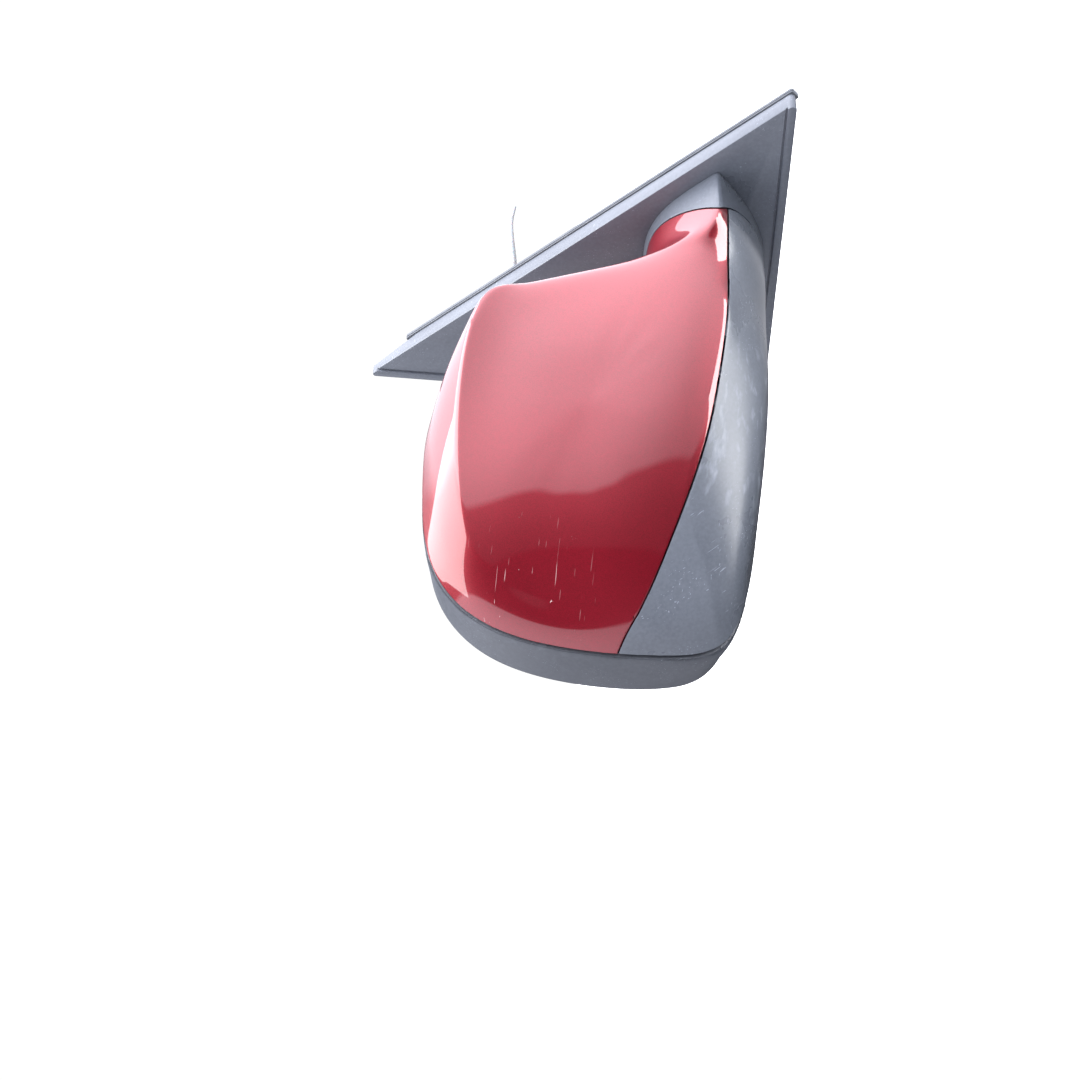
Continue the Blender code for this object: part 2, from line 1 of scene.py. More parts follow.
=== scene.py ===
"""Looks of the right-hand car door mirror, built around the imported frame.

Frame: +X outboard, +Y car forward, +Z up, metres. Helper meshes are written in millimetres, as the
CAD is.
"""

import json
from math import atan, cos, pi, radians, sin, tau

import bmesh
import bpy
from mathutils import Matrix, Vector

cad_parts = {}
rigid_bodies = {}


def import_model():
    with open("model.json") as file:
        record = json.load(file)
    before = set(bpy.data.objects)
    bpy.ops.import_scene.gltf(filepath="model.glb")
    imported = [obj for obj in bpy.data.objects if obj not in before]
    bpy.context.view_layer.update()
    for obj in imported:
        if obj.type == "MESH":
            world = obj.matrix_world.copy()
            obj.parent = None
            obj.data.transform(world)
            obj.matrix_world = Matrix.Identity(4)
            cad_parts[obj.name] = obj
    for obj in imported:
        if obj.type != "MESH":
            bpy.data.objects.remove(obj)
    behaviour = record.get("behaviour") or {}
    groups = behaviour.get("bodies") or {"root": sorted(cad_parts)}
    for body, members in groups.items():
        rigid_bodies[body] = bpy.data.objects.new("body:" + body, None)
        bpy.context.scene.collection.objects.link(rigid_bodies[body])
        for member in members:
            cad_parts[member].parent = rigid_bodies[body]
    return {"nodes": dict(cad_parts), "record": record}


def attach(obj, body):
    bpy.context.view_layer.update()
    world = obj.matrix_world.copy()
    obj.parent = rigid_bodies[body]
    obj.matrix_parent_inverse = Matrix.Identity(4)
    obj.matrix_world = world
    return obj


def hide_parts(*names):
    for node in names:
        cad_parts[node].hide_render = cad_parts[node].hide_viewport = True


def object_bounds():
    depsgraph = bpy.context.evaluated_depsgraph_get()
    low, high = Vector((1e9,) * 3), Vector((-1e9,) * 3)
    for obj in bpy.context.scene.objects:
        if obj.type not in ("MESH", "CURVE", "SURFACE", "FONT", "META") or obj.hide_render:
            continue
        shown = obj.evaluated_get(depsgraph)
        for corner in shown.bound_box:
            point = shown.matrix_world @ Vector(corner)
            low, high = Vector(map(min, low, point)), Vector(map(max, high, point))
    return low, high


MM = 0.001

# ---- driving dimensions, in millimetres, the same as the CAD ----
SAIL_TOP = (-61.0, 143.0)        # sail plate corners as (Y, Z), before rounding
SAIL_FRONT = (120.0, -60.3)
SAIL_REAR = (-84.0, -61.0)
SAIL_CORNERS = [SAIL_TOP, SAIL_FRONT, SAIL_REAR]
SAIL_FACE = 10.0                 # X of the visible face
SAIL_RIM = 11.0                  # X of the raised rims
SAIL_BACK = 2.0
RIM_WIDTH = 4.0
GROOVE_WIDTH = 0.9               # of the shadow line inside the rims
GROOVE_DEPTH = 0.6
TIP_LENGTH = 34.0
TIP_SLOPE = radians(7.0)
WALL = 2.5
PIVOT = (62.0, 42.0)             # fold axis as (X, Y)
PARTING_R = 45.0
FOOT_REAR = 12.0
TOE = 0.25                       # glass plane: Y falls 0.25 for each 1 outboard
SEAM_Y = 11.25
TILT_ANGLE = atan(TOE)
BEZEL_DEPTH = 24.0
GLASS_CENTRE = (133.0, 33.0)     # (X, Z)
SEAM_GAP = 0.8
NECK_X = 59.0
REACH = 220.0
STUDS = ((82.0, -45.0), (-62.0, -42.0), (-40.0, 92.0))
GROMMET = (-30.0, 58.0)
TIE_CENTRE_X = -9.0
SLEEVE_R = 7.0
SKIN_LEVELS = 4
HOLLOW_LEVELS = 3
DRUM_END = 150                   # half height of the cylinders about the fold axis
DRUM_SIDES = 160
ARC_STEPS = 10
EDGE_ANGLE = radians(40.0)       # edges sharper than this are rounded

for leftover in list(bpy.data.objects):
    bpy.data.objects.remove(leftover)
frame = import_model()
cad_box = [[float(c) for c in corner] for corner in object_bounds()]


# ---- meshes ----
def to_mesh(name, bm, matrix=None):
    if matrix is not None:
        bmesh.ops.transform(bm, matrix=matrix, verts=bm.verts)
    bmesh.ops.scale(bm, vec=(MM, MM, MM), verts=bm.verts)
    bmesh.ops.recalc_face_normals(bm, faces=bm.faces)
    mesh = bpy.data.meshes.new(name)
    bm.to_mesh(mesh)
    bm.free()
    return mesh


def show(name, mesh):
    obj = bpy.data.objects.new(name, mesh)
    bpy.context.scene.collection.objects.link(obj)
    return obj


def box_mesh(name, low, high, matrix=None):
    bm = bmesh.new()
    bmesh.ops.create_cube(bm, size=1.0)
    bmesh.ops.scale(bm, vec=[high[i] - low[i] for i in range(3)], verts=bm.verts)
    bmesh.ops.translate(bm, vec=[(high[i] + low[i]) / 2 for i in range(3)], verts=bm.verts)
    return to_mesh(name, bm, matrix)


def axis_frame(axis, centre):
    """Frame whose z lies on the named axis; centre gives the other two coordinates."""
    if axis == "X":
        return Matrix.Translation((0, centre[0], centre[1])) @ Matrix.Rotation(pi / 2, 4, 'Y')
    return Matrix.Translation((centre[0], centre[1], 0))


def lathe_mesh(name, profile, centre, axis, sides):
    """Closed (radius, height) profile turned about an X or Z axis."""
    bm = bmesh.new()
    rings = []
    for k in range(sides):
        angle = tau * k / sides
        rings.append([bm.verts.new((r * cos(angle), r * sin(angle), h)) for r, h in profile])
    count = len(profile)
    for k in range(sides):
        a = rings[k]
        b = rings[(k + 1) % sides]
        for i in range(count):
            j = (i + 1) % count
            bm.faces.new((a[i], b[i], b[j], a[j]))
    bmesh.ops.remove_doubles(bm, verts=bm.verts, dist=0.001)
    return to_mesh(name, bm, axis_frame(axis, centre))


def pivot_rod(radius):
    """Tall cylinder about the fold axis."""
    profile = [(0.0, -DRUM_END), (radius, -DRUM_END), (radius, DRUM_END), (0.0, DRUM_END)]
    return show("drum", lathe_mesh("drum", profile, PIVOT, "Z", DRUM_SIDES))


def prism_mesh(name, outline, low, high, axis="X"):
    """Closed outline pushed along an axis. For X the outline is (Y, Z), for Y it is (X, Z)."""
    bm = bmesh.new()
    if axis == "X":
        verts = [bm.verts.new((low, y, z)) for y, z in outline]
        push = (high - low, 0, 0)
    else:
        verts = [bm.verts.new((x, low, z)) for x, z in outline]
        push = (0, high - low, 0)
    face = bm.faces.new(verts)
    out = bmesh.ops.extrude_face_region(bm, geom=[face])
    moved = [v for v in out["geom"] if isinstance(v, bmesh.types.BMVert)]
    bmesh.ops.translate(bm, vec=push, verts=moved)
    return to_mesh(name, bm)


def rounded(points, radii):
    """Polygon with its corners rounded by arcs."""
    out = []
    count = len(points)
    for i, point in enumerate(points):
        here = Vector(point)
        back = (Vector(points[i - 1]) - here).normalized()
        ahead = (Vector(points[(i + 1) % count]) - here).normalized()
        half = back.angle(ahead) / 2
        reach = radii[i] / abs(sin(half) / cos(half))
        centre = here + (back + ahead).normalized() * (radii[i] / sin(half))
        first = here + back * reach
        last = here + ahead * reach
        for k in range(ARC_STEPS + 1):
            blend = first.lerp(last, k / ARC_STEPS) - centre
            out.append(tuple(centre + blend.normalized() * radii[i]))
    return out


def inset(points, distances):
    """Polygon with each side (from point i to i+1) moved inwards by its distance."""
    count = len(points)
    pairs = zip(points, points[1:] + points[:1])
    area = sum(a[0] * b[1] - b[0] * a[1] for a, b in pairs)
    side = 1 if area > 0 else -1
    lines = []
    for i in range(count):
        a = Vector(points[i])
        b = Vector(points[(i + 1) % count])
        along = (b - a).normalized()
        inward = Vector((-along.y, along.x)) * side
        lines.append((a + inward * distances[i], along))
    out = []
    for i in range(count):
        (a, u), (b, v) = lines[i - 1], lines[i]
        cross = u.x * v.y - u.y * v.x
        step = ((b - a).x * v.y - (b - a).y * v.x) / cross
        out.append(tuple(a + u * step))
    return out


# ---- shaping ----
def freeze(obj):
    """Apply an object's modifiers to its mesh."""
    bpy.context.view_layer.update()
    graph = bpy.context.evaluated_depsgraph_get()
    fine = bpy.data.meshes.new_from_object(obj.evaluated_get(graph))
    obj.modifiers.clear()
    obj.data = fine
    return obj


def combine(obj, operation, cutters):
    """Cut with, keep inside or join other objects, and remove them."""
    for cutter in cutters:
        step = obj.modifiers.new(operation.lower(), 'BOOLEAN')
        step.operation = operation
        step.object = cutter
        step.solver = 'EXACT'
    freeze(obj)
    for cutter in cutters:
        bpy.data.objects.remove(cutter)
    return obj


def cut(obj, *cutters):
    return combine(obj, 'DIFFERENCE', cutters)


def keep(obj, *cutters):
    return combine(obj, 'INTERSECT', cutters)


def join(obj, *others):
    return combine(obj, 'UNION', others)


def smooth(obj, angle=32.0):
    mesh = obj.data
    for face in mesh.polygons:
        face.use_smooth = True
    mesh.set_sharp_from_angle(angle=radians(angle))
    return obj


def soften(obj, width, segments=3, merge=0.06):
    """Merge slivers, round the sharp edges, and shade smoothly."""
    bm = bmesh.new()
    bm.from_mesh(obj.data)
    bmesh.ops.remove_doubles(bm, verts=bm.verts, dist=merge * MM)
    bmesh.ops.dissolve_degenerate(bm, edges=bm.edges, dist=merge * MM / 2)
    bm.to_mesh(obj.data)
    bm.free()
    round_off = obj.modifiers.new("round_off", 'BEVEL')
    round_off.width = width * MM
    round_off.segments = segments
    round_off.limit_method = 'ANGLE'
    round_off.angle_limit = EDGE_ANGLE
    round_off.use_clamp_overlap = False
    freeze(obj)
    return smooth(obj)


def seam_y(x):
    return SEAM_Y - TOE * x


def rim_frame():
    """Glass frame: x along the glass outboard, y square to it towards the front, z up."""
    x = GLASS_CENTRE[0]
    place = Matrix.Translation((x, seam_y(x), GLASS_CENTRE[1]))
    return place @ Matrix.Rotation(-TILT_ANGLE, 4, 'Z')


RIM = rim_frame()


# ---- head skin: a coarse cage, subdivided ----
RIM_LOOP = [
    (62, -46), (59, -18), (59, 30), (60, 84), (80, 110), (122, 111.5), (162, 110),
    (191, 84), (202, 40), (204.5, -4), (203, -35), (150, -45), (92, -50),
]
REAR_LOOP = [
    (62, -46), (59, -18), (59, 30), (60, 83), (80, 108.5), (122, 109.5), (162, 107.5),
    (191, 82), (203, 40), (205.5, -3), (197, -27), (150, -43), (92, -50),
]
MIDDLE_LOOP = [
    (58, 28, -54), (52, 25, -20), (54, 28, 26), (56, 25, 79), (73, 24, 102), (118, 4, 104),
    (158, -13, 103), (185, -24, 85), (198, -30, 43), (199, -27, 4), (190, -14, -30), (142, 8, -46),
    (90, 30, -54),
]
FRONT_LOOP = [
    (64, 63, -32), (46, 66, -16), (43, 60, 12), (52, 57, 69), (67, 55, 87), (110, 28, 94.5),
    (150, 4, 93), (174, -13, 82), (187, -22, 48), (187, -13, 14), (161, 12, -6), (129, 34, -19),
    (94, 53, -28),
]
NECK_LOOP_YZ = [
    (60, -41), (78, -27), (57, -3), (36, 6), (5, 5), (-5, -18), (-2, -46), (26, -56),
]
CREASES = {
    3: 0.5, 4: 0.7, 5: 0.8, 6: 0.8, 7: 0.6, 8: 0.3, 9: 0.3, 10: 0.55, 11: 0.6, 12: 0.55, 0: 0.4,
}
RIDGE_COLUMN = 1                 # the neck's front ridge, which gives the foot its pointed arch
RIDGE_CREASE = 0.55
SHOULDER = 0.25                  # how far from the seam to the middle loop the shoulder row lies
FACE_MIDDLE = (118.0, 36.0)      # (X, Z)
# the front face along its lower ridge, as (X, Y)
FRONT_CURVE = [(40, 67), (75, 61), (94, 54), (129, 36), (161, 14), (187, -12), (200, -24)]
LEAN = 21.0                      # how far the front face leans back from lower ridge to top edge


def front_y(x, z):
    """Y of the front face at a point seen from the front."""
    for (x0, y0), (x1, y1) in zip(FRONT_CURVE, FRONT_CURVE[1:]):
        if x <= x1:
            break
    base = y0 + (y1 - y0) * (x - x0) / (x1 - x0)
    rise = max(0.0, (z + 20) / 115)
    return base + 2.0 - LEAN * rise ** 1.6


def head_cage():
    bm = bmesh.new()
    rows = []
    for depth, loop in ((-40, REAR_LOOP), (-24, REAR_LOOP), (-6, RIM_LOOP), (0, RIM_LOOP)):
        rows.append([bm.verts.new((x, seam_y(x) + depth, z)) for x, z in loop])
    seam = [(x, seam_y(x), z) for x, z in RIM_LOOP]
    shoulder = [Vector(a).lerp(Vector(b), SHOULDER) for a, b in zip(seam, MIDDLE_LOOP)]
    rows.append([bm.verts.new(point) for point in shoulder])
    rows.append([bm.verts.new(point) for point in MIDDLE_LOOP])
    rows.append([bm.verts.new(point) for point in FRONT_LOOP])
    for shrink in (0.72, 0.36):
        row = []
        for x, _, z in FRONT_LOOP:
            px = FACE_MIDDLE[0] + (x - FACE_MIDDLE[0]) * shrink
            pz = FACE_MIDDLE[1] + (z - FACE_MIDDLE[1]) * shrink
            row.append(bm.verts.new((px, front_y(px, pz), pz)))
        rows.append(row)
    count = len(RIM_LOOP)
    step_row, mid_row, crease_row = 4, 5, 6
    neck_columns = (0, 1)
    for r in range(len(rows) - 1):
        for j in range(count):
            if r in (step_row, mid_row) and j in neck_columns:
                continue
            k = (j + 1) % count
            bm.faces.new((rows[r][j], rows[r][k], rows[r + 1][k], rows[r + 1][j]))
    bm.faces.new(rows[0][::-1])
    bm.faces.new(rows[-1])
    ring = [rows[crease_row][0], rows[crease_row][1], rows[crease_row][2], rows[mid_row][2],
            rows[step_row][2], rows[step_row][1], rows[step_row][0], rows[mid_row][0]]
    bm.verts.remove(rows[mid_row][1])
    neck_spread = ((40, 0.0), (24, 0.0), (12, 0.0), (4, 2.0))
    centre = Vector((32, -22))
    ridge = []
    for x, flare in neck_spread:
        loop = []
        for y, z in NECK_LOOP_YZ:
            out = (Vector((y, z)) - centre).normalized() * flare
            loop.append(bm.verts.new((x, y + out.x, z + out.y)))
        for i in range(8):
            k = (i + 1) % 8
            bm.faces.new((ring[i], ring[k], loop[k], loop[i]))
        ridge.append((ring[RIDGE_COLUMN], loop[RIDGE_COLUMN]))
        ring = loop
    bm.faces.new(ring)
    bm.verts.index_update()
    layer = bm.edges.layers.float.new("crease_edge")
    for j, weight in CREASES.items():
        k = (j + 1) % count
        edge = bm.edges.get((rows[crease_row][j], rows[crease_row][k]))
        if edge is not None:
            edge[layer] = weight
    for pair in ridge:
        bm.edges.get(pair)[layer] = RIDGE_CREASE
    bmesh.ops.recalc_face_normals(bm, faces=bm.faces)
    return bm


def head_skin(name, depth=0.0, levels=SKIN_LEVELS):
    """The head's outer form as a closed mesh, moved inwards by a depth."""
    obj = show(name, to_mesh(name + "_cage", head_cage()))
    divide = obj.modifiers.new("divide", 'SUBSURF')
    divide.levels = levels
    freeze(obj)
    if depth:
        normals = [v.normal.copy() for v in obj.data.vertices]
        for vertex, normal in zip(obj.data.vertices, normals):
            vertex.co -= normal * depth * MM
    bm = bmesh.new()
    bm.from_mesh(obj.data)
    bmesh.ops.triangulate(bm, faces=bm.faces)
    bm.to_mesh(obj.data)
    bm.free()
    return obj


def slab(low, high):
    """Block square to the glass between two depths (glass frame, y), outboard of the neck."""
    inner = (NECK_X - GLASS_CENTRE[0]) / cos(TILT_ANGLE)
    return show("slab", box_mesh("slab", (inner, low, -REACH), (REACH, high, REACH), RIM))


def pivot_drum(radius):
    """What the head may fill: a drum about the fold axis and all that lies outboard of it."""
    outboard = box_mesh("outboard", (PIVOT[0] - 2, -300, -160), (400, 300, 160))
    return join(pivot_rod(radius), show("outboard", outboard))


SEAM_LINE = [                    # between painted cap and lower case, as (X, Z)
    (-20, -32), (38, -31), (74, -30), (100, -26.5), (127, -20.5), (150, -12), (176, 1), (190, 10),
    (198, 17), (230, 44),
]


def smooth_line(points, per_span=8):
    """More points on a smooth curve through an open line."""
    ends = [Vector(p) for p in points]
    ends = [ends[0] * 2 - ends[1]] + ends + [ends[-1] * 2 - ends[-2]]
    out = []
    for s in range(len(points) - 1):
        a, b, c, d = ends[s:s + 4]
        for i in range(per_span):
            t = i / per_span
            out.append(0.5 * ((2 * b) + (c - a) * t + (2 * a - 5 * b + 4 * c - d) * t * t
                              + (3 * b - a - 3 * c + d) * t ** 3))
    out.append(ends[-2])
    return out


def split_block(upper):
    """Block above (or below) the line between painted cap and lower case."""
    shift = SEAM_GAP / 2 if upper else -SEAM_GAP / 2
    line = [(x, z + shift) for x, z in smooth_line(SEAM_LINE, 4)]
    far = 200 if upper else -200
    outline = line + [(230, far), (-20, far)]
    return show("split", prism_mesh("split", outline, -200, 200, "Y"))


# ---- head shells, bezel and glass ----
FOOT_WALL = 4.0                  # thicker, so that the flared end keeps its skin
FOOT_GAP = 0.6                   # between the foot and the folding head
FOOT_LIFT = 0.15                 # between the foot and the sail plate's face
SHELL_FRONT = 2.0                # depth behind which the head shells stop (glass frame)
BEZEL_FRONT = -0.7
BEZEL_INSET = 0.6
BEZEL_THROAT = 4.4
SHELL_SLOT = ((5, -40, -39), (52, 90, -7))       # opening in the neck for the bracket's arm
SAIL_SLOT = ((0, 24, -38), (20, 44, -10))        # and in the sail plate
GLASS_LAYERS = {                 # node: piece, inset from the skin, back, front, rounding
    "glass_carrier": ("carrier_plate", 9.1, -12.4, -9.9, 0.6),
    "heater_pad": ("heater_sheet", 9.8, -13.2, -12.7, 0.1),
    "mirror_glass": ("mirror_pane", 8.4, -15.6, -13.5, 0.5),
}
EDGE = 0.3                       # rounding of moulded edges


def make_shell(name, upper):
    shell = head_skin(name)
    keep(shell, pivot_drum(PARTING_R), split_block(upper))
    hollow = head_skin("hollow", WALL, HOLLOW_LEVELS)
    keep(hollow, pivot_drum(PARTING_R - WALL))
    window = head_skin("window", WALL, HOLLOW_LEVELS)
    keep(window, show("slot", box_mesh("slot", *SHELL_SLOT)))
    cut(shell, slab(-REACH, SHELL_FRONT), hollow, window)
    return soften(shell, EDGE)


def make_bezel():
    bezel = head_skin("mirror_rim", BEZEL_INSET)
    rear = -BEZEL_DEPTH * cos(TILT_ANGLE)
    keep(bezel, slab(rear, BEZEL_FRONT))
    cut(bezel, head_skin("tunnel", BEZEL_THROAT, HOLLOW_LEVELS))
    return soften(bezel, 0.9)


def make_glass_layer(name, depth, low, high, edge):
    piece = head_skin(name, depth, HOLLOW_LEVELS)
    keep(piece, slab(low, high))
    return soften(piece, edge, segments=2)


def make_foot():
    foot = head_skin("foot_moulding")
    hollow = head_skin("hollow", FOOT_WALL, HOLLOW_LEVELS)
    keep(hollow, show("inner", box_mesh("inner", (-20, FOOT_REAR + WALL, -90), (90, 100, 40))))
    keep(foot, show("room", box_mesh("room", (SAIL_FACE + FOOT_LIFT, FOOT_REAR, -90), (50, 100, 40))))
    cut(foot, pivot_rod(PARTING_R + FOOT_GAP), hollow)
    return soften(foot, 0.15, segments=2, merge=0.12)


def make_sail():
    outline = rounded(SAIL_CORNERS, (1.5, 2.0, 4.0))
    sail = show("sail_moulding", prism_mesh("sail", outline, SAIL_BACK, SAIL_RIM))
    field = inset(SAIL_CORNERS, (-8.0, RIM_WIDTH, RIM_WIDTH))
    groove_end = inset(SAIL_CORNERS, (-9.0, RIM_WIDTH + GROOVE_WIDTH, RIM_WIDTH + GROOVE_WIDTH))
    trench = show("trench", prism_mesh("trench", field, SAIL_FACE - GROOVE_DEPTH, 20))
    cut(trench, show("island", prism_mesh("island", groove_end, 0, 30)))
    tip = Vector(SAIL_TOP)
    along = (Vector(SAIL_FRONT) - tip).normalized()
    reach = tip + along * TIP_LENGTH
    lean = Matrix.Rotation(TIP_SLOPE, 4, Vector((0, -along.y, along.x)))
    wedge = show("wedge", box_mesh("wedge", (-30, -60, -60), (0, 60, 60)))
    wedge.matrix_world = Matrix.Translation(Vector((SAIL_BACK, reach.x, reach.y)) * MM) @ lean
    inside = inset(SAIL_CORNERS, (WALL, WALL, WALL))
    hollow = show("hollow", prism_mesh("hollow", inside, -10, SAIL_FACE - WALL))
    arm_hole = show("arm_hole", box_mesh("arm_hole", *SAIL_SLOT))
    recess = show("recess", prism_mesh("recess", field, SAIL_FACE, 20))
    cut(sail, recess, trench, wedge, hollow, arm_hole)
    return soften(sail, 0.3, segments=2)


def pillar_line():
    """Start, end and outward direction of the sail's sloping edge."""
    top = Vector(SAIL_TOP)
    along = (Vector(SAIL_FRONT) - top).normalized()
    out = Vector((-along.y, along.x))
    return top + along * 26, Vector(SAIL_FRONT) - along * 2, out if out.y > 0 else -out


def make_pillar_seal():
    start, end, out = pillar_line()
    lip = [start - out * 5, start + out * 0.4, end + out * 0.4, end - out * 5]
    seal = show("pillar_lip", prism_mesh("pillar_lip", rounded(lip, (1, 1.2, 1.2, 1)), -1.2, 1.5))
    rib = [start + out * -0.4, start + out * 2, end + out * 2, end + out * -0.4]
    cut(seal, show("rib", prism_mesh("rib", rib, 0.35, 0.75)))
    return soften(seal, 0.25, segments=2)


def make_gasket():
    outer = inset(SAIL_CORNERS, (7, 7, 7))
    gasket = show("door_gasket", prism_mesh("door_gasket", outer, -3.5, -0.3))
    inner = show("inner", prism_mesh("inner", inset(SAIL_CORNERS, (12, 12, 12)), -8, 4))
    low = prism_mesh("low", inset(SAIL_CORNERS, (8.7, 8.7, 8.7)), -9, -2.6)
    high = prism_mesh("high", inset(SAIL_CORNERS, (10.3, 10.3, 10.3)), -10, 0)
    channel = cut(show("channel", low), show("high", high))
    cut(gasket, inner, channel)
    return soften(gasket, 0.5)


# ---- turned pieces, with profiles as (radius, X) ----
STUD_R = 2.98
THREAD_ROOT = 2.62


def make_stud(index, spot):
    """Stud with its thread cut as close rings, a lead-in and a round head."""
    profile = [(0.0, -22.0), (1.9, -22.0), (2.6, -21.3)]
    for x in range(-21, 1):
        profile += [(THREAD_ROOT, x), (STUD_R, x + 0.4), (STUD_R, x + 0.5), (THREAD_ROOT, x + 0.9)]
    profile += [(STUD_R, 1.6), (STUD_R, 5.3), (5.0, 5.3), (5.4, 5.7), (5.4, 6.8), (5.0, 7.2), (0.0, 7.2)]
    stud = show("threaded_stud_%d" % index, lathe_mesh("stud", profile, spot, "X", 40))
    return smooth(stud, 25)


def make_grommet():
    """Bellows sleeve with a flange that snaps over the sail's back."""
    profile = [(4.2, -14.0), (4.5, -14.0), (6.6, -14.0), (7.0, -13.6), (7.0, -6.4)]
    for k in range(4):
        x = -6.0 + 2.6 * k
        profile += [(6.2, x), (6.1, x + 0.6), (6.9, x + 1.2), (7.0, x + 1.5), (6.9, x + 1.8)]
    profile += [(6.4, 5.2), (11.0, 5.4), (11.5, 5.9), (11.5, 6.5), (11.0, 7.0), (4.6, 7.0), (4.2, 6.6)]
    return smooth(show("cable_grommet", lathe_mesh("grommet", profile, GROMMET, "X", 64)), 50)


def make_tie():
    """Cable tie: a thin band with its square buckle."""
    low, high = TIE_CENTRE_X - 1.8, TIE_CENTRE_X + 1.8
    inner, outer = SLEEVE_R + 0.25, SLEEVE_R + 1.4
    profile = [
        (inner, low), (outer - 0.3, low), (outer, low + 0.3),
        (outer, high - 0.3), (outer - 0.3, high), (inner, high),
    ]
    band = show("tie_band", lathe_mesh("tie_band", profile, GROMMET, "X", 72))
    low_corner = (TIE_CENTRE_X - 2.8, GROMMET[0] + 1, GROMMET[1] + SLEEVE_R + 0.7)
    high_corner = (TIE_CENTRE_X + 2.8, GROMMET[0] + 7, GROMMET[1] + SLEEVE_R + 5.2)
    buckle = show("buckle", box_mesh("buckle", low_corner, high_corner))
    slot_low = (TIE_CENTRE_X - 1.6, GROMMET[0] - 1, GROMMET[1] + SLEEVE_R + 3.2)
    slot_high = (TIE_CENTRE_X + 1.6, GROMMET[0] + 9, GROMMET[1] + SLEEVE_R + 4.3)
    cut(buckle, show("slot", box_mesh("slot", slot_low, slot_high)))
    return soften(join(band, buckle), 0.3, segments=2)


TAIL_ROUTE = [
    (-9.5, -21.6, 67.6), (-14, -17, 67.8), (-22, -11, 68.0), (-34, -6, 69.3), (-46, -7, 69.6),
    (-58, -8.2, 68.0),
]
TAIL_WIDTH, TAIL_THICK = 0.95, 0.8       # half widths
TAIL_TAPER = 0.45                # share of its width lost at the tip
TAIL_TOOTH = 0.08


def make_tail():
    """The tie's cut tail: a rounded strap with fine cross teeth that narrows to its tip."""
    line = smooth_line(TAIL_ROUTE, 24)
    bm = bmesh.new()
    sides = 16
    rings = []
    for i, point in enumerate(line):
        ahead = line[min(i + 1, len(line) - 1)] - line[max(i - 1, 0)]
        along = ahead.normalized()
        across = along.cross(Vector((0, 0, 1))).normalized()
        up = across.cross(along)
        part = i / (len(line) - 1)
        scale = 1.0 - TAIL_TAPER * part ** 2
        tooth = 1.0 + (TAIL_TOOTH if i % 2 else 0.0)
        ring = []
        for k in range(sides):
            angle = tau * k / sides
            offset = up * cos(angle) * TAIL_WIDTH * scale
            offset += across * sin(angle) * TAIL_THICK * scale * tooth
            ring.append(bm.verts.new(point + offset))
        rings.append(ring)
    for a, b in zip(rings, rings[1:]):
        for k in range(sides):
            j = (k + 1) % sides
            bm.faces.new((a[k], a[j], b[j], b[k]))
    bm.faces.new(rings[0][::-1])
    bm.faces.new(rings[-1])
    return smooth(show("tie_strap", to_mesh("tie_strap", bm)), 60)


# ---- materials, all from nodes in the piece's own coordinates ----
class Material:
    """A principled material and short calls for its nodes."""

    def __init__(self, name, **sockets):
        self.data = bpy.data.materials.new(name)
        self.data.use_nodes = True
        self.tree = self.data.node_tree
        self.shader = self.tree.nodes["Principled BSDF"]
        for socket, value in sockets.items():
            self.shader.inputs[socket.replace("_", " ")].default_value = value
        self.place = self.tree.nodes.new("ShaderNodeTexCoord").outputs["Object"]

    def node(self, kind, inputs=None, **settings):
        made = self.tree.nodes.new(kind)
        for key, value in settings.items():
            setattr(made, key, value)
        for key, value in (inputs or {}).items():
            if isinstance(value, bpy.types.NodeSocket):
                self.tree.links.new(value, made.inputs[key])
            else:
                made.inputs[key].default_value = value
        return made

    def stretched(self, angles, scale):
        turned = self.node("ShaderNodeMapping", {"Vector": self.place, "Rotation": angles})
        return self.node("ShaderNodeMapping", {"Vector": turned.outputs[0], "Scale": scale}).outputs[0]

    def noise(self, scale, detail, where=None):
        inputs = {"Vector": where or self.place, "Scale": scale, "Detail": detail}
        return self.node("ShaderNodeTexNoise", inputs).outputs["Fac"]

    def ramp(self, value, *stops):
        """Map a value through (position, level) stops."""
        made = self.node("ShaderNodeValToRGB", {"Fac": value})
        band = made.color_ramp
        while len(band.elements) < len(stops):
            band.elements.new(0.5)
        for element, (position, level) in zip(band.elements, stops):
            element.position = position
            element.color = (*level, 1.0) if isinstance(level, tuple) else (level, level, level, 1.0)
        return made.outputs["Color"]

    def multiply(self, a, b):
        return self.node("ShaderNodeMath", {0: a, 1: b}, operation='MULTIPLY').outputs[0]

    def most(self, a, b):
        return self.node("ShaderNodeMath", {0: a, 1: b}, operation='MAXIMUM').outputs[0]

    def mix(self, share, a, b):
        inputs = {0: share, 6: a, 7: b}
        return self.node("ShaderNodeMix", inputs, data_type='RGBA').outputs[2]

    def near(self, point, reach):
        """1 at a point (millimetres), falling to 0 at a reach."""
        spot = tuple(c * MM for c in point)
        inputs = {0: self.place, 1: spot}
        gap = self.node("ShaderNodeVectorMath", inputs, operation='DISTANCE').outputs["Value"]
        inputs = {"Value": gap, "From Min": 0.0, "From Max": reach * MM, "To Min": 1.0, "To Max": 0.0}
        return self.node("ShaderNodeMapRange", inputs).outputs[0]

    def scratches(self, angles, scale, threshold, level):
        """Straight thin strokes, in patches: the peaks of noise stretched along one axis."""
        streak = self.noise(1.0, 1.0, self.stretched(angles, scale))
        line = self.ramp(streak, (level, 0.0), (level + 0.03, 1.0))
        patch = self.ramp(self.noise(55.0, 2.0), (threshold, 0.0), (threshold + 0.05, 1.0))
        return self.multiply(line, patch)

    def bump(self, height, strength, distance, below=None):
        inputs = {"Height": height, "Strength": strength, "Distance": distance}
        if below is not None:
            inputs["Normal"] = below
        return self.node("ShaderNodeBump", inputs).outputs["Normal"]

    def use(self, socket, value):
        self.tree.links.new(value, self.shader.inputs[socket])


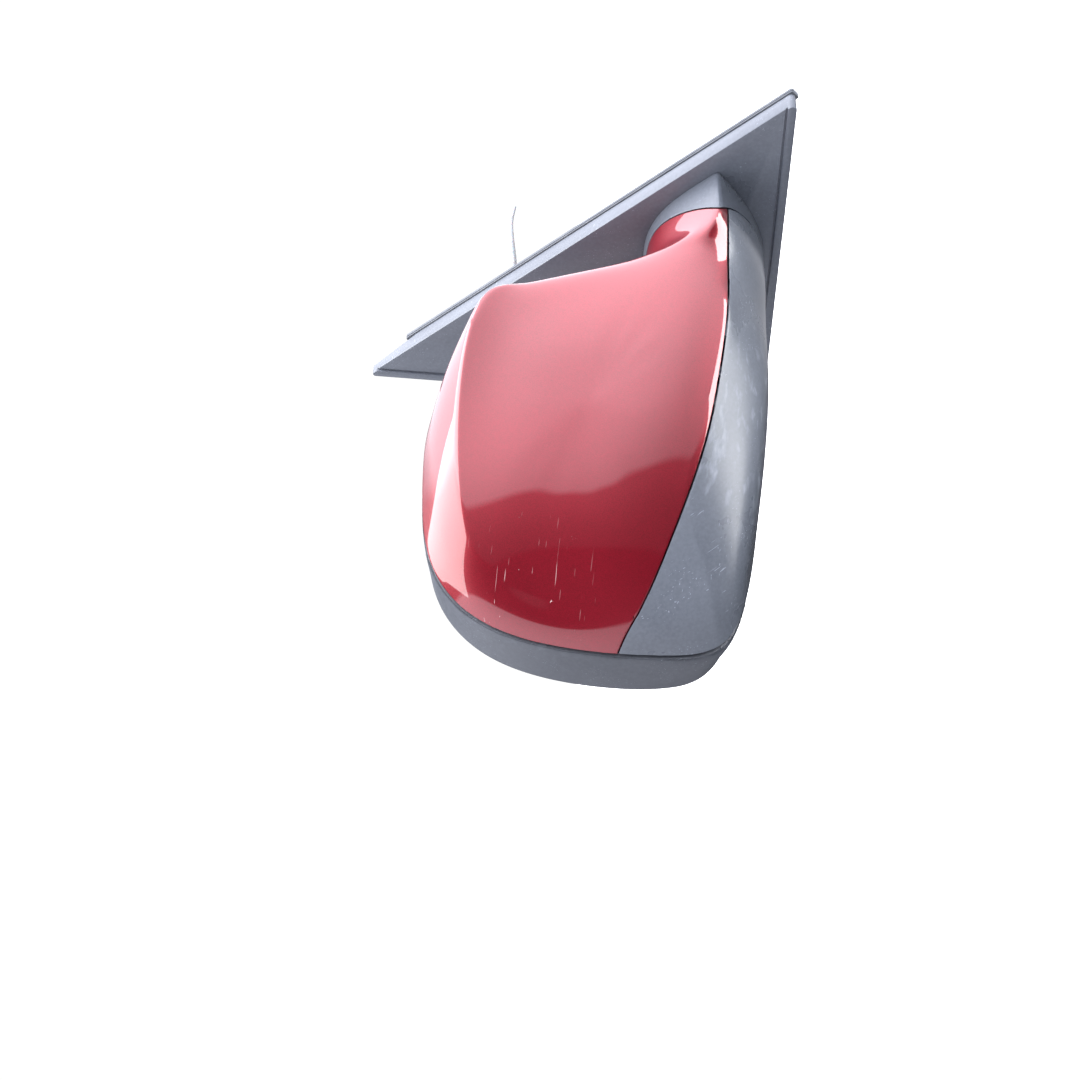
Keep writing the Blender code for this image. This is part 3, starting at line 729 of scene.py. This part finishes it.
CORNER = (186, -10, 62)          # outboard edge of the cap, where it is scuffed
LOWER_FRONT = (120, 25, -35)


def paint():
    m = Material("red_metallic_paint", Metallic=0.4, Coat_Weight=1.0, Coat_Roughness=0.03, Coat_IOR=1.7)
    flake = m.ramp(m.noise(2600.0, 1.0), (0.35, (0.15, 0.0007, 0.007)), (0.65, (0.34, 0.002, 0.018)))
    cloud = m.ramp(m.noise(14.0, 2.0), (0.3, (0.20, 0.001, 0.010)), (0.7, (0.27, 0.002, 0.015)))
    colour = m.mix(0.5, flake, cloud)
    worn = m.near(CORNER, 40)
    chips = m.ramp(m.noise(240.0, 3.0), (0.735, 0.0), (0.745, 1.0))
    chips = m.multiply(chips, m.ramp(worn, (0.15, 0.0), (0.5, 1.0)))
    stray = m.ramp(m.noise(170.0, 2.0), (0.80, 0.0), (0.805, 1.0))
    marks = m.scratches((0.0, 0.15, -2.35), (40, 1500, 1500), 0.46, 0.71)
    marks = m.multiply(marks, m.ramp(worn, (0.05, 0.0), (0.5, 1.0)))
    faint = m.scratches((0.1, -0.3, -2.6), (24, 1700, 1700), 0.56, 0.73)
    bare = m.most(chips, stray)
    rough = m.most(bare, m.most(marks, faint))
    colour = m.mix(m.multiply(marks, 0.6), colour, (0.75, 0.5, 0.5, 1.0))
    colour = m.mix(bare, colour, (0.62, 0.42, 0.42, 1.0))
    m.use("Base Color", colour)
    m.use("Roughness", m.ramp(rough, (0.0, 0.36), (1.0, 0.62)))
    peel = m.bump(m.noise(70.0, 2.0), 0.02, 0.001)
    m.use("Normal", m.bump(rough, -0.25, 0.00012, peel))
    return m.data


def lighter(colour, gain, lift=0.0):
    """A colour made lighter, with its alpha."""
    return tuple(min(1.0, c * gain + lift) for c in colour) + (1.0,)


def moulded(name, dark, light, rough, grain, wear, scuffed):
    """Moulded plastic: fine grain, a slow colour drift, light scratches, scuffs about a worn place."""
    m = Material(name, Specular_IOR_Level=0.5)
    colour = m.ramp(m.noise(24.0, 4.0), (0.3, dark), (0.7, light))
    speck = m.ramp(m.noise(grain / 3, 2.0), (0.35, 0.0), (0.75, 1.0))
    colour = m.mix(m.multiply(speck, 0.18), colour, lighter(light, 1.7))
    marks = m.scratches((0.3, 0.9, 0.4), (70, 1900, 1900), 0.50, 0.71)
    marks = m.most(marks, m.scratches((1.3, -0.4, 0.2), (50, 1500, 1500), 0.55, 0.72))
    worn = m.ramp(m.near(wear, 60), (0.1, 0.0), (0.55, 1.0))
    swept = m.noise(1.0, 4.0, m.stretched((0.2, 0.4, 0.8), (60, 260, 200)))
    rub = m.ramp(swept, (0.56, 0.0), (0.72, 1.0))
    marks = m.most(marks, m.multiply(m.multiply(rub, worn), scuffed))
    colour = m.mix(m.multiply(marks, 0.5), colour, lighter(light, 3.2, 0.06))
    m.use("Base Color", colour)
    smudge = m.ramp(m.noise(18.0, 5.0), (0.3, rough - 0.07), (0.7, rough + 0.07))
    m.use("Roughness", m.mix(marks, smudge, (rough + 0.2, rough + 0.2, rough + 0.2, 1.0)))
    fine = m.bump(m.noise(grain, 2.0), 0.12, 0.0002)
    m.use("Normal", m.bump(marks, -0.2, 0.0001, fine))
    return m.data


def rubber(name, dark, light):
    m = Material(name)
    m.use("Base Color", m.ramp(m.noise(60.0, 5.0), (0.3, dark), (0.75, light)))
    m.use("Roughness", m.ramp(m.noise(90.0, 4.0), (0.3, 0.62), (0.7, 0.82)))
    m.use("Normal", m.bump(m.noise(1300.0, 3.0), 0.25, 0.0002))
    return m.data


def cast_alloy():
    m = Material("cast_alloy", Metallic=0.95)
    m.use("Base Color", m.ramp(m.noise(40.0, 6.0), (0.3, (0.23, 0.235, 0.24)), (0.7, (0.29, 0.295, 0.30))))
    m.use("Roughness", m.ramp(m.noise(120.0, 4.0), (0.3, 0.42), (0.7, 0.6)))
    m.use("Normal", m.bump(m.noise(700.0, 5.0), 0.35, 0.0003))
    return m.data


def drawn_metal(name, dark, light, rough):
    """Turned or drawn metal: very fine lines, a slight tarnish drift."""
    m = Material(name, Metallic=1.0)
    lines = m.noise(1.0, 3.0, m.stretched((0.0, 0.0, 0.0), (900, 900, 2600)))
    tarnish = m.noise(90.0, 5.0)
    m.use("Base Color", m.ramp(tarnish, (0.3, dark), (0.72, light)))
    m.use("Roughness", m.ramp(lines, (0.3, rough - 0.08), (0.7, rough + 0.1)))
    m.use("Normal", m.bump(lines, 0.12, 0.0001))
    return m.data


def nylon():
    m = Material("natural_nylon", Subsurface_Weight=0.15, Subsurface_Scale=0.002)
    m.use("Base Color", m.ramp(m.noise(50.0, 4.0), (0.3, (0.17, 0.18, 0.20)), (0.7, (0.25, 0.26, 0.28))))
    m.use("Roughness", m.ramp(m.noise(70.0, 3.0), (0.3, 0.38), (0.7, 0.5)))
    m.use("Normal", m.bump(m.noise(900.0, 2.0), 0.12, 0.0002))
    return m.data


def silvered_glass():
    m = Material("silvered_glass", Metallic=1.0, Coat_Weight=1.0, Coat_Roughness=0.01)
    m.use("Base Color", m.ramp(m.noise(9.0, 2.0), (0.3, (0.80, 0.83, 0.87)), (0.7, (0.86, 0.88, 0.91))))
    film = m.ramp(m.noise(26.0, 6.0), (0.45, 0.015), (0.8, 0.10))
    specks = m.ramp(m.noise(420.0, 2.0), (0.80, 0.0), (0.82, 0.25))
    m.use("Roughness", m.node("ShaderNodeMath", {0: film, 1: specks}, operation='ADD').outputs[0])
    m.use("Normal", m.bump(m.noise(30.0, 1.0), 0.004, 0.001))
    return m.data


def heater_film():
    """Amber film with its printed track: even dark bands."""
    m = Material("heater_film", Specular_IOR_Level=0.5)
    inputs = {"Vector": m.place, "Scale": 60.0, "Distortion": 0.4}
    bands = m.node("ShaderNodeTexWave", inputs, bands_direction='Z')
    track = m.ramp(bands.outputs["Fac"], (0.42, 1.0), (0.5, 0.0))
    m.use("Base Color", m.mix(track, (0.36, 0.17, 0.05, 1.0), (0.05, 0.035, 0.03, 1.0)))
    m.use("Roughness", m.ramp(m.noise(60.0, 3.0), (0.3, 0.28), (0.7, 0.42)))
    m.use("Normal", m.bump(track, 0.3, 0.0001))
    return m.data


GREY_DARK, GREY_LIGHT = (0.085, 0.096, 0.120), (0.110, 0.123, 0.150)
# the lower case's grey is lighter than the other grey plastic: painted sheen, the case's brighter look
# under light put into its colour
PAINTED_SHEEN_CASE_DARK, PAINTED_SHEEN_CASE_LIGHT = (0.105, 0.118, 0.143), (0.138, 0.153, 0.182)
MATT_DARK, MATT_LIGHT = (0.065, 0.072, 0.088), (0.085, 0.093, 0.112)
FINISHES = {
    "paint": paint(),
    "grey_plastic": moulded("satin_grey", GREY_DARK, GREY_LIGHT, 0.34, 1900.0, LOWER_FRONT, 0.55),
    "dark_plastic": moulded("matt_dark_grey", MATT_DARK, MATT_LIGHT, 0.55, 1500.0, CORNER, 0.25),
    "rubber": rubber("matt_rubber", (0.012, 0.012, 0.013), (0.035, 0.035, 0.038)),
    "alloy": cast_alloy(),
    "steel": drawn_metal("plated_steel", (0.34, 0.345, 0.36), (0.56, 0.57, 0.58), 0.32),
    "brass": drawn_metal("turned_brass", (0.42, 0.29, 0.11), (0.66, 0.49, 0.22), 0.34),
    "natural_plastic": nylon(),
    "mirror": silvered_glass(),
    "heater_film": heater_film(),
}


# body name and material slot of each CAD node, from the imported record
BODIES = frame["record"]["behaviour"]["bodies"]
BODY_OF = {node: body for body, nodes in BODIES.items() for node in nodes}
SLOT_OF = {entry["node"]: entry["material_slot"] for entry in frame["record"]["subparts"]}


def stand_for(node, piece, finish=None):
    """Give a piece its finish and let it stand for a CAD node."""
    piece.data.materials.clear()
    piece.data.materials.append(finish or FINISHES[SLOT_OF[node]])
    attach(piece, BODY_OF[node])
    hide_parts(node)


def finish_kept_nodes():
    for name, obj in frame["nodes"].items():
        obj.data.materials.clear()
        obj.data.materials.append(FINISHES[SLOT_OF[name]])


# ---- build ----
finish_kept_nodes()
stand_for("painted_cap", make_shell("cap_shell", True))
# lighter copy of the grey plastic for the lower case: painted sheen in its colour
case_grey_with_painted_sheen = moulded("satin_grey_painted_sheen", PAINTED_SHEEN_CASE_DARK, PAINTED_SHEEN_CASE_LIGHT, 0.30, 1900.0, LOWER_FRONT, 0.55)
stand_for("lower_case", make_shell("case_shell", False), case_grey_with_painted_sheen)
stand_for("bezel", make_bezel())
for layer, settings in GLASS_LAYERS.items():
    stand_for(layer, make_glass_layer(*settings))
stand_for("foot_cover", make_foot())
stand_for("sail_cover", make_sail())
grey_rubber = rubber("grey_rubber", (0.09, 0.10, 0.12), (0.14, 0.15, 0.17))
stand_for("pillar_seal", make_pillar_seal(), grey_rubber)
stand_for("sail_gasket", make_gasket())
stand_for("grommet", make_grommet())
stand_for("cable_tie", make_tie())
stand_for("tie_tail", make_tail())
for number, spot in enumerate(STUDS):
    stand_for("door_stud_%d" % (number + 1), make_stud(number + 1, spot))


# ---- stage, light and camera ----
CAMERA_PLACE = Vector((0.76727, 0.77001, 0.0553))
CAMERA_UP = Vector((-0.78801, 0.61566, 0.0))
CAMERA_BACK = Vector((0.61566, 0.78801, 0.0))
CAMERA_LENS = 72.74
STUDIO_BANDS = (                 # (height, brightness) from the floor up, as the object reflects it
    (0.0, 1.8), (0.25, 1.6), (0.27, 0.03), (0.395, 0.03), (0.405, 0.16), (0.54, 0.30),
    (0.555, 1.8), (0.66, 2.6), (0.8, 4.0), (1.0, 5.0),
)
OBJECT_MIDDLE = Vector((0.10, 0.02, 0.03))


def facing(place, up, back):
    right = up.cross(back)
    columns = Matrix((right, up, back)).transposed().to_4x4()
    return Matrix.Translation(place) @ columns


def make_camera():
    camera = bpy.data.objects.new("camera", bpy.data.cameras.new("camera"))
    bpy.context.scene.collection.objects.link(camera)
    camera.data.lens = CAMERA_LENS
    camera.matrix_world = facing(CAMERA_PLACE, CAMERA_UP, CAMERA_BACK)
    bpy.context.scene.camera = camera


def make_light(name, direction, distance, size, power):
    """Soft rectangular light that looks at the object from a direction."""
    data = bpy.data.lights.new(name, 'AREA')
    data.shape = 'RECTANGLE'
    data.size, data.size_y = size
    data.energy = power
    lamp = bpy.data.objects.new(name, data)
    bpy.context.scene.collection.objects.link(lamp)
    back = direction.normalized()
    right = Vector((0, 0, 1)).cross(back).normalized()
    lamp.matrix_world = facing(OBJECT_MIDDLE + back * distance, back.cross(right), back)
    return lamp


def make_floor():
    drop = cad_box[0][2] - 0.05
    bpy.ops.mesh.primitive_circle_add(vertices=96, radius=9.0, fill_type='NGON', location=(0, 0, drop))
    floor = bpy.context.object
    floor.name = "floor"
    m = Material("pale_floor", Roughness=0.9, Emission_Color=(1.0, 1.0, 1.0, 1.0), Emission_Strength=0.9)
    m.use("Base Color", m.ramp(m.noise(2.0, 2.0), (0.3, 0.82), (0.7, 0.85)))
    floor.data.materials.append(m.data)
    floor.visible_diffuse = False
    floor.visible_glossy = False


def make_world():
    """White to the camera; for light and reflections a studio that is dark at mid height."""
    world = bpy.data.worlds.new("studio")
    bpy.context.scene.world = world
    world.use_nodes = True
    tree = world.node_tree
    tree.nodes.clear()
    way = tree.nodes.new("ShaderNodeTexCoord").outputs["Generated"]
    height = tree.nodes.new("ShaderNodeVectorMath")
    height.operation = 'DOT_PRODUCT'
    tree.links.new(way, height.inputs[0])
    height.inputs[1].default_value = CAMERA_UP
    spread = tree.nodes.new("ShaderNodeMapRange")
    tree.links.new(height.outputs["Value"], spread.inputs["Value"])
    spread.inputs["From Min"].default_value = -1.0
    bands = tree.nodes.new("ShaderNodeValToRGB")
    tree.links.new(spread.outputs[0], bands.inputs["Fac"])
    ramp = bands.color_ramp
    while len(ramp.elements) < len(STUDIO_BANDS):
        ramp.elements.new(0.5)
    for element, (position, level) in zip(ramp.elements, STUDIO_BANDS):
        element.position = position
        element.color = (level, level * 1.01, level * 1.1, 1.0)
    lit = tree.nodes.new("ShaderNodeBackground")
    tree.links.new(bands.outputs["Color"], lit.inputs["Color"])
    across = tree.nodes.new("ShaderNodeSeparateXYZ")
    tree.links.new(way, across.inputs[0])
    falloff = tree.nodes.new("ShaderNodeMapRange")
    tree.links.new(across.outputs["Z"], falloff.inputs["Value"])
    falloff.inputs["From Min"].default_value = -1.0
    falloff.inputs["To Min"].default_value = 0.12
    falloff.inputs["To Max"].default_value = 1.25
    tree.links.new(falloff.outputs[0], lit.inputs["Strength"])
    plain = tree.nodes.new("ShaderNodeBackground")
    plain.inputs["Color"].default_value = (1.0, 1.0, 1.0, 1.0)
    plain.inputs["Strength"].default_value = 1.05
    seen = tree.nodes.new("ShaderNodeLightPath").outputs["Is Camera Ray"]
    choose = tree.nodes.new("ShaderNodeMixShader")
    tree.links.new(seen, choose.inputs[0])
    tree.links.new(lit.outputs[0], choose.inputs[1])
    tree.links.new(plain.outputs[0], choose.inputs[2])
    end = tree.nodes.new("ShaderNodeOutputWorld")
    tree.links.new(choose.outputs[0], end.inputs["Surface"])


make_camera()
make_floor()
make_world()
SIDE = Vector((0, 0, 1.0))       # towards the left of the camera's picture
top = make_light("top", CAMERA_UP + CAMERA_BACK * 0.35, 1.6, (2.6, 1.8), 8.0)
top.visible_glossy = False
make_light("left", SIDE + CAMERA_UP * 0.15 + CAMERA_BACK * 0.1, 1.0, (1.3, 1.3), 26.0)
make_light("right", CAMERA_BACK * 0.55 + CAMERA_UP * 0.4 - SIDE, 1.0, (0.7, 1.0), 22.0)
bpy.context.scene.view_settings.view_transform = 'Standard'
